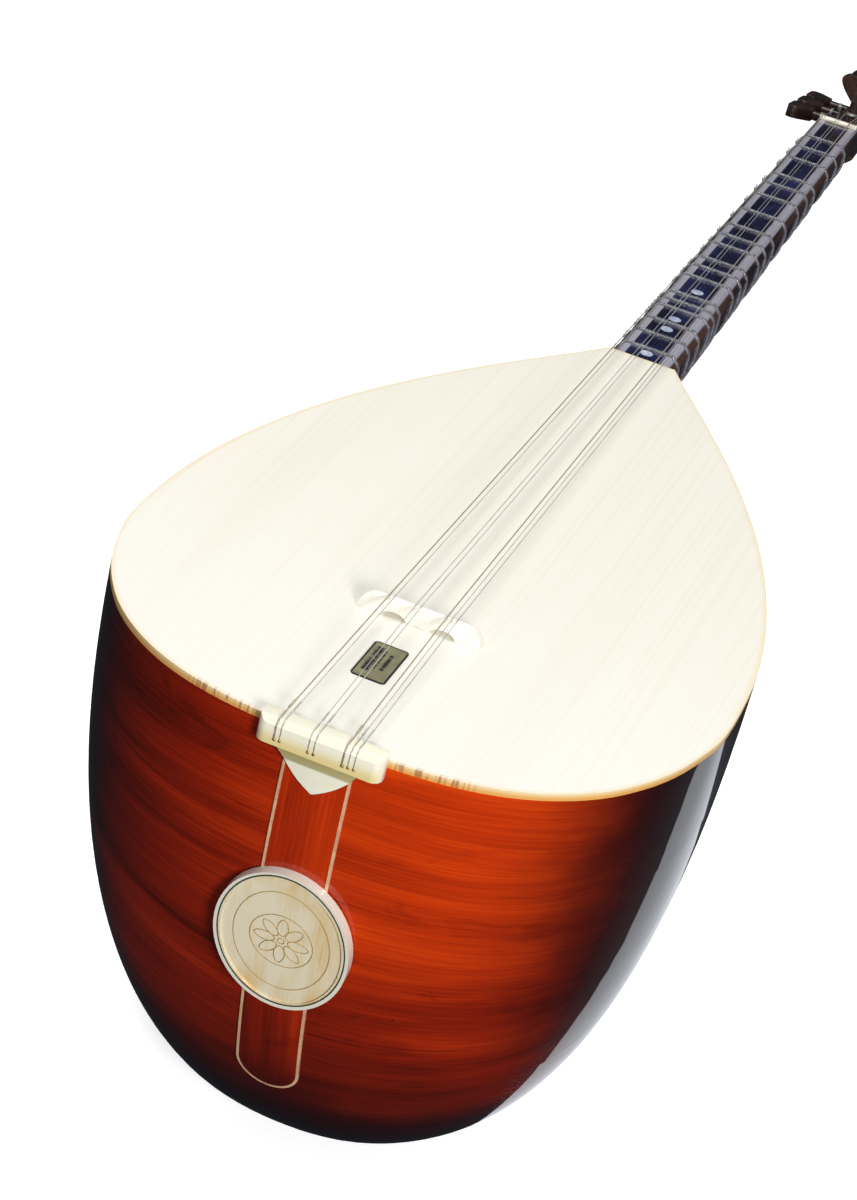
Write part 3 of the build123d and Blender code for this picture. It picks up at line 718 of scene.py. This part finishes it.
def softened(node: str, name: str, width: float) -> bpy.types.Object:
    """Copy a node and round its sharp edges.

    Args:
        node: The node to copy.
        name: The piece's name.
        width: How wide the rounding is.

    Returns:
        The piece, which stands for the node.
    """
    piece = copied(node, name)
    apply_modifier(piece, "BEVEL", {"width": width, "segments": 3, "limit_method": "ANGLE",
                                    "angle_limit": radians(38.0), "use_clamp_overlap": True,
                                    "miter_outer": "MITER_ARC"})
    smooth(piece, 40)
    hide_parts(node)
    return piece


def wire(points: list[Vector], radius: float, name: str, closed: bool = False) -> bpy.types.Object:
    """Model a round wire along a smooth line.

    Args:
        points: The line's control points.
        radius: The wire's radius.
        name: The piece's name.
        closed: Whether the line joins up.

    Returns:
        The wire as a mesh.
    """
    bpy.ops.object.select_all(action="DESELECT")
    curve = bpy.data.curves.new(name, "CURVE")
    curve.dimensions = "3D"
    curve.bevel_depth = radius
    curve.bevel_resolution = 2
    curve.resolution_u = 4
    curve.use_fill_caps = True
    spline = curve.splines.new("NURBS")
    spline.points.add(len(points) - 1)
    for target, point in zip(spline.points, points):
        target.co = (*point, 1.0)
    spline.use_cyclic_u = closed
    spline.use_endpoint_u = not closed
    spline.order_u = 3
    piece = bpy.data.objects.new(name, curve)
    bpy.context.scene.collection.objects.link(piece)
    piece = settle(piece, name)
    smooth(piece, 60)
    return piece


def joined(pieces: list[bpy.types.Object], name: str) -> bpy.types.Object:
    """Join several mesh pieces into one."""
    bpy.ops.object.select_all(action="DESELECT")
    for piece in pieces:
        piece.select_set(True)
    bpy.context.view_layer.objects.active = pieces[0]
    bpy.ops.object.join()
    pieces[0].name = name
    return pieces[0]


def coil(start: Vector, way: Vector, first: Vector, radius: float, pitch: float, turns: int,
         steps: int = 8) -> list[Vector]:
    """Give the points of a helix.

    Args:
        start: The point on the axis level with the first point.
        way: The axis, along which the helix goes.
        first: The direction from the axis to the first point.
        radius: The helix's radius.
        pitch: How far it goes in one turn.
        turns: How many turns it makes.
        steps: The points in one turn.

    Returns:
        The points, in order.
    """
    second = way.cross(first)
    angles = (2 * pi * n / steps for n in range(turns * steps + 1))
    return [start + (first * cos(a) + second * sin(a)) * radius + way * (pitch * a / (2 * pi))
            for a in angles]


# ---- sub-assemblies -----------------------------------------------------------------------------


@dataclass
class Bowl:
    """The stave-built bowl with the strap down its tail."""

    finishes: Finishes
    staves: int = 4

    def names(self) -> list[str]:
        """List the staves' nodes."""
        sides = [f"stave_{n}_{side}" for n in range(1, self.staves + 1) for side in ("left", "right")]
        return sides + ["stave_keel"]

    def build(self) -> None:
        """Dress the staves, the strap and the blocks inside."""
        dress_nodes(self.names(), self.finishes.bowl)
        dress_nodes(["tail_strap"], self.finishes.strap)
        dress_nodes(["strap_fillet"], self.finishes.pale_line)
        dress_nodes(["neck_block", "tail_block", "soundboard_brace"], self.finishes.inner)
        LOG.info("bowl dressed")


@dataclass
class Medallion:
    """The oval medallion on the strap, with an engraved oval and a plain rosette."""

    finishes: Finishes
    tilt: float = radians(10.7)
    petals: int = 8
    petal_length: float = 8.2 * MM
    line_radius: float = 0.22 * MM
    rings: tuple[tuple[float, float], ...] = ((1.4, 1.4), (13.4, 13.4), (20.5, 25.6))
    ring_points: int = 24

    def outward(self) -> Vector:
        """Give the direction the face looks in."""
        return Vector((0.0, -cos(self.tilt), -sin(self.tilt)))

    def rosette(self) -> bpy.types.Object:
        """Model a plain rosette of petals, sunk halfway into the face."""
        outward = self.outward()
        centre = middle_and_halves("medallion_disc", 2)[0]
        along = Vector((0.0, -sin(self.tilt), cos(self.tilt)))
        across = Vector((1.0, 0.0, 0.0))
        front = max(v.co.dot(outward) for v in frame["nodes"]["medallion_disc"].data.vertices)
        centre += outward * (front - centre.dot(outward))
        outline = ((0.25, 0.0), (0.6, 0.30), (1.15, 0.26), (1.5, 0.0), (1.15, -0.26), (0.6, -0.30))
        made = []
        for turn in range(self.petals):
            angle = 2 * pi * turn / self.petals
            out = across * cos(angle) + along * sin(angle)
            side = along * cos(angle) - across * sin(angle)
            loop = [centre + (out * r + side * w) * self.petal_length for r, w in outline]
            made.append(wire(loop, self.line_radius, f"petal_{turn}", closed=True))
        for number, (wide, tall) in enumerate(self.rings):
            ring = [centre + across * (cos(a) * wide * MM) + along * (sin(a) * tall * MM)
                    for a in (2 * pi * n / self.ring_points for n in range(self.ring_points))]
            made.append(wire(ring, self.line_radius, f"petal_ring_{number}", closed=True))
        return joined(made, "medallion_rosette")

    def build(self) -> None:
        """Model and dress the medallion."""
        rosette = self.rosette()
        dress(rosette, self.finishes.engraving)
        mount(rosette, "saz")
        dress_nodes(["medallion_disc", "medallion_ring"], self.finishes.maple)


@dataclass
class Neck:
    """The neck with its fingerboard, dots, nut and head."""

    finishes: Finishes

    def build(self) -> None:
        """Dress the neck's nodes."""
        dress_nodes(["neck", "head"], self.finishes.neck)
        dress_nodes(["fingerboard"], self.finishes.ebony)
        dress_nodes(["position_dots"], self.finishes.pearl)
        LOG.info("neck dressed")


@dataclass
class Studio:
    """The floor, the light and the camera."""

    azimuth: float = radians(13.28)
    elevation: float = radians(28.85)
    roll: float = radians(14.08)
    distance: float = 1.399
    target: Vector = field(default_factory=lambda: Vector((-0.029, 0.120, 0.192)))
    lens: float = 94.6
    ambient: float = 0.24
    ambient_colour: Colour = (0.96, 0.98, 1.0)
    mirrored: float = 0.025
    mirrored_colour: Colour = (0.70, 0.80, 1.0)
    card_turn: float = radians(55.0)
    card_height: float = 3.0 * MM
    floor_side: float = 30.0
    floor_z: float = -0.5 * MM
    floor_glow: float = 0.60

    def camera(self) -> None:
        """Place the camera, tilted about its own line of sight."""
        a, e, r = self.azimuth, self.elevation, self.roll
        back = Vector((sin(a) * cos(e), -cos(a) * cos(e), sin(e)))
        level = Vector((cos(a), sin(a), 0.0))
        rise = level.cross(-back)
        rise = -rise if rise.z < 0 else rise
        right = level * cos(r) + rise * sin(r)
        up = rise * cos(r) - level * sin(r)
        data = bpy.data.cameras.new("camera")
        data.lens = self.lens
        data.sensor_width = 36.0
        data.clip_end = 50.0
        eye = bpy.data.objects.new("camera", data)
        turned = Matrix((right, up, back)).transposed().to_4x4()
        eye.matrix_world = Matrix.Translation(self.target + back * self.distance) @ turned
        bpy.context.scene.collection.objects.link(eye)
        bpy.context.scene.camera = eye

    def light(self, name: str, place: Vector, at: Vector, size: tuple[float, float], power: float,
              colour: Colour = WHITE) -> None:
        """Hang one softbox.

        Args:
            name: Its name.
            place: Where it hangs.
            at: The point it faces.
            size: Its width and height.
            power: Its power in watts.
            colour: Its colour.
        """
        data = bpy.data.lights.new(name, "AREA")
        data.shape = "RECTANGLE"
        data.size, data.size_y = size
        data.energy = power
        data.color = colour
        lamp = bpy.data.objects.new(name, data)
        lamp.location = place
        lamp.rotation_euler = (at - place).to_track_quat("-Z", "Y").to_euler()
        bpy.context.scene.collection.objects.link(lamp)

    def card(self, name: str, place: Vector, size: tuple[float, float], power: float,
             colour: Colour) -> None:
        """Lay a bright card on the floor, seen only in the lacquer's gloss."""
        self.light(name, place, place + Vector((0.0, 0.0, 1.0)), size, power, colour)
        lamp = bpy.data.objects[name]
        lamp.data.shape = "ELLIPSE"
        lamp.rotation_euler = (pi, 0.0, self.card_turn)
        lamp.visible_camera = False
        lamp.visible_diffuse = False

    def floor(self) -> None:
        """Lay a plain pale floor under the bowl."""
        bpy.ops.object.select_all(action="DESELECT")
        bpy.ops.mesh.primitive_plane_add(size=self.floor_side, location=(0.0, 0.0, self.floor_z))
        plane = bpy.context.view_layer.objects.active
        plane.name = "floor"
        plane.visible_glossy = False
        plane.visible_diffuse = False
        g = Graph("floor_white")
        dress(plane, g.shader({"Base Color": (0.93, 0.93, 0.93), "Roughness": 0.9,
                               "Emission Color": WHITE, "Emission Strength": self.floor_glow}))

    def world(self) -> None:
        """Fill the room: white where it is seen, soft where it lights, dim where it is mirrored."""
        world = bpy.data.worlds.new("room")
        bpy.context.scene.world = world
        g = Graph("room", world)
        surface = self.backdrop(g, self.ambient_colour, self.ambient)
        for ray, colour, strength in (("Is Glossy Ray", self.mirrored_colour, self.mirrored),
                                      ("Is Camera Ray", WHITE, 1.0)):
            chosen = g.node("ShaderNodeLightPath", output=ray)
            surface = g.node("ShaderNodeMixShader", None, {
                0: chosen, 1: surface, 2: self.backdrop(g, colour, strength)})
        g.node("ShaderNodeOutputWorld", None, {"Surface": surface})

    def backdrop(self, g: Graph, colour: Colour, strength: float) -> Shade:
        """Add one even background to the world."""
        return g.node("ShaderNodeBackground", None, {"Color": colour, "Strength": strength})

    def build(self) -> None:
        """Set up the room."""
        bpy.context.scene.view_settings.view_transform = "Standard"
        self.camera()
        self.floor()
        self.world()
        middle = Vector((0.0, 0.0, 0.20))
        self.light("key", Vector((-0.4, 0.3, 2.2)), middle, (1.6, 1.2), 28.6)
        self.light("front", Vector((1.15, -1.55, 0.95)), Vector((0.03, -0.1, 0.19)), (0.5, 0.5), 36.0)
        self.light("fill", Vector((-1.7, 1.0, 0.8)), middle, (0.8, 0.8), 6.0)
        self.card("side_card", Vector((0.235, 0.265, self.card_height)), (0.58, 0.20), 0.27,
                  (0.90, 0.94, 1.0))
        LOG.info("studio ready")


@dataclass
class Fittings:
    """The soundboard with its bridge, plate and tailpiece."""

    finishes: Finishes
    carved: tuple[tuple[str, str, float, str, str], ...] = (
        ("bridge", "bridge_carved", 0.5 * MM, "bridge", "bridge_wood"),
        ("tailpiece", "tailpiece_bar", 0.7 * MM, "saz", "bone"),
        ("tailpiece_chin", "tailpiece_point", 0.3 * MM, "saz", "bone"),
        ("nut", "nut_bar", 0.3 * MM, "saz", "bone"),
    )

    def build(self) -> None:
        """Round the carved fittings and dress them all."""
        dress_nodes(["soundboard"], self.finishes.soundboard)
        dress_nodes(["label_plate"], self.finishes.plate)
        for node, name, rounding, body, slot in self.carved:
            piece = softened(node, name, rounding)
            dress(piece, self.finishes.bridge if node == "bridge" else self.finishes.bone)
            mount(piece, body)


@dataclass
class Strings:
    """The seven strings, with their twisted loops, tail pins and windings on the pegs."""

    finishes: Finishes
    wound: tuple[int, ...] = (1, 5)
    radii: tuple[float, ...] = (0.30, 0.18, 0.18, 0.18, 0.30, 0.18, 0.18)
    at_tailpiece: tuple[float, ...] = (-17.4, -15.2, -3.7, -1.4, 10.3, 12.6, 14.9)
    at_bridge: tuple[float, ...] = (-14.7, -12.5, -3.2, -1.0, 10.4, 12.6, 14.8)
    tail_edge: tuple[float, float] = (-108.0, 255.6)
    bridge_crest: tuple[float, float] = (-7.0, 260.3)
    pin_radius: float = 0.75 * MM
    pin_height: float = 247.2 * MM
    wrap_radius: float = 0.17 * MM
    twist_start: float = 2.0 * MM
    twist_turns: int = 9
    shaft_radius: float = 3.0 * MM
    winding_turns: int = 4

    def finish(self, number: int) -> bpy.types.Material:
        """Give one string's finish."""
        return self.finishes.bronze if number in self.wound else self.finishes.steel

    def twist(self, number: int) -> bpy.types.Object:
        """Model the twisted end of one string's loop, just past the tailpiece."""
        radius = self.radii[number - 1] * MM
        lift = radius + 0.06 * MM
        tail_y, tail_z = self.tail_edge
        crest_y, crest_z = self.bridge_crest
        tail = Vector((self.at_tailpiece[number - 1] * MM, tail_y * MM, tail_z * MM + lift))
        crest = Vector((self.at_bridge[number - 1] * MM, crest_y * MM, crest_z * MM))
        way = (crest - tail).normalized()
        first = way.cross(Vector((1.0, 0.0, 0.0))).normalized()
        wrap = self.wrap_radius
        start = tail + way * self.twist_start
        points = coil(start, way, first, radius + wrap, 4.2 * wrap, self.twist_turns, 6)
        return wire(points, wrap, f"string_twist_{number}")

    def pin_model(self) -> bpy.types.Object:
        """Model one pin at the origin, to be copied."""
        bpy.ops.object.select_all(action="DESELECT")
        bpy.ops.mesh.primitive_uv_sphere_add(segments=20, ring_count=12, radius=self.pin_radius)
        model = settle(bpy.context.view_layer.objects.active, "pin_model")
        smooth(model)
        return model

    def pin(self, number: int, model: bpy.types.Object) -> bpy.types.Object:
        """Copy the small pin that holds one string's loop to its place on the tailpiece's front."""
        low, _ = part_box(f"string_{number}")
        place = (self.at_tailpiece[number - 1] * MM, low.y + self.pin_radius, self.pin_height)
        piece = bpy.data.objects.new(f"tail_pin_{number}", model.data.copy())
        piece.data.transform(Matrix.Translation(place))
        bpy.context.scene.collection.objects.link(piece)
        return piece

    def winding(self, number: int) -> bpy.types.Object:
        """Model the turns of one string round its peg's shaft."""
        joint = next(j for j in frame["joints"] if j["name"] == f"peg_{number}_turn")
        axis = Vector(joint["axis"]).normalized()
        origin = Vector(joint["pos_m"])
        points = [v.co for v in frame["nodes"][f"string_{number}"].data.vertices]
        far = max(p.y for p in points)
        tip = [p for p in points if p.y > far - 0.4 * MM]
        end = sum(tip, Vector()) / len(tip)
        level = (end - origin).dot(axis)
        foot = origin + axis * level
        first = (end - foot - axis * (end - foot).dot(axis)).normalized()
        radius = self.radii[number - 1] * MM
        if axis.cross(first).y < 0:
            axis = -axis
        reach = self.shaft_radius + radius + 0.04 * MM
        turns = coil(foot, axis, first, reach, 2.1 * radius, self.winding_turns, 10)
        return wire(turns, radius, f"string_winding_{number}")

    def build(self) -> None:
        """Dress the strings and model what holds them."""
        model = self.pin_model()
        for number in range(1, len(self.radii) + 1):
            dress_nodes([f"string_{number}"], self.finish(number))
            twist = self.twist(number)
            dress(twist, self.finish(number))
            mount(twist, "saz")
            pin = self.pin(number, model)
            dress(pin, self.finishes.brass)
            mount(pin, "saz")
            winding = self.winding(number)
            dress(winding, self.finish(number))
            mount(winding, f"peg_{number}")
        bpy.data.objects.remove(model)


@dataclass
class Frets:
    """Tied frets, each three turns of nylon with a knot on the neck's left side."""

    finishes: Finishes
    count: int = 19
    turns: int = 3
    cord_radius: float = 0.45 * MM
    clearance: float = 0.09 * MM
    bevel: float = 4.5 * MM
    flat_share: float = 0.74
    squareness: float = 0.8
    arc_steps: int = 12
    knot_below_top: float = 8.5 * MM
    bead_radius: float = 1.0 * MM
    bead_shift: float = 0.75 * MM

    def turn(self, node: str, y: float) -> list[Vector]:
        """Give the middle line of one turn round the neck.

        Args:
            node: The fret's node, which gives the neck's size.
            y: Where the turn lies along the neck.

        Returns:
            The points of a closed line.
        """
        low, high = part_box(node)
        outer = self.clearance + 2 * self.cord_radius
        grow = self.clearance + self.cord_radius
        half = high.x - outer
        top = high.z - outer
        flat = self.flat_share * half + 0.4 * grow
        shoulder = top - self.bevel + 0.3 * grow
        deep = shoulder - (low.z + outer - grow)
        crown = top + grow
        points = []
        for step in range(self.arc_steps + 1):
            angle = pi * step / self.arc_steps
            side = 1 if step <= self.arc_steps / 2 else -1
            x = side * (half + grow) * abs(cos(angle)) ** self.squareness
            points.append(Vector((x, y, shoulder - deep * sin(angle) ** self.squareness)))
        for side in (-1, 1):
            near = [Vector((side * (flat + 0.7 * MM), y, crown - 0.8 * MM)), Vector((side * flat, y, crown)),
                    Vector((side * (flat - 1.2 * MM), y, crown))]
            points += near if side < 0 else near[::-1]
        return points

    def knot(self, number: int, y: float) -> list[bpy.types.Object]:
        """Model the knot on the left side: two beads and two short ends."""
        low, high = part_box(f"fret_{number:02d}")
        made = []
        centre = Vector((low.x + 0.15 * MM, y, high.z - self.knot_below_top))
        for shift in (-self.bead_shift, self.bead_shift):
            bpy.ops.object.select_all(action="DESELECT")
            bpy.ops.mesh.primitive_uv_sphere_add(segments=16, ring_count=10, radius=self.bead_radius,
                                                 location=centre + Vector((0.0, shift, shift)))
            made.append(settle(bpy.context.view_layer.objects.active, "bead"))
            smooth(made[-1])
            end = [centre, centre + Vector((-0.5 * MM, 2.2 * shift, 2 * MM)),
                   centre + Vector((-0.3 * MM, 4 * shift, 3.4 * MM))]
            made.append(wire(end, self.cord_radius * 0.8, "end"))
        return made

    def build(self) -> None:
        """Model every fret in place of its plain sleeve."""
        for number in range(1, self.count + 1):
            node = f"fret_{number:02d}"
            low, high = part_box(node)
            middle = (low.y + high.y) / 2
            made = self.knot(number, middle)
            for turn in range(self.turns):
                y = middle + (turn - (self.turns - 1) / 2) * 2 * self.cord_radius
                made.append(wire(self.turn(node, y), self.cord_radius, "turn", closed=True))
            fret = joined(made, f"fret_cord_{number:02d}")
            dress(fret, self.finishes.nylon)
            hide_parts(node)
            mount(fret, node)


@dataclass
class Pegs:
    """The seven friction pegs."""

    finishes: Finishes
    count: int = 7
    rounding: float = 1.6 * MM

    def build(self) -> None:
        """Round and dress the pegs."""
        for number in range(1, self.count + 1):
            peg = softened(f"peg_{number}", f"peg_turned_{number}", self.rounding)
            dress(peg, self.finishes.peg)
            mount(peg, f"peg_{number}")


def main() -> None:
    """Build the instrument piece by piece."""
    logging.basicConfig(level=logging.INFO)
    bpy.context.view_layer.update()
    finishes = Finishes.build()
    for group in (Studio(), Bowl(finishes), Fittings(finishes), Medallion(finishes), Neck(finishes),
                  Frets(finishes), Pegs(finishes), Strings(finishes)):
        group.build()


if __name__ == "__main__":
    main()
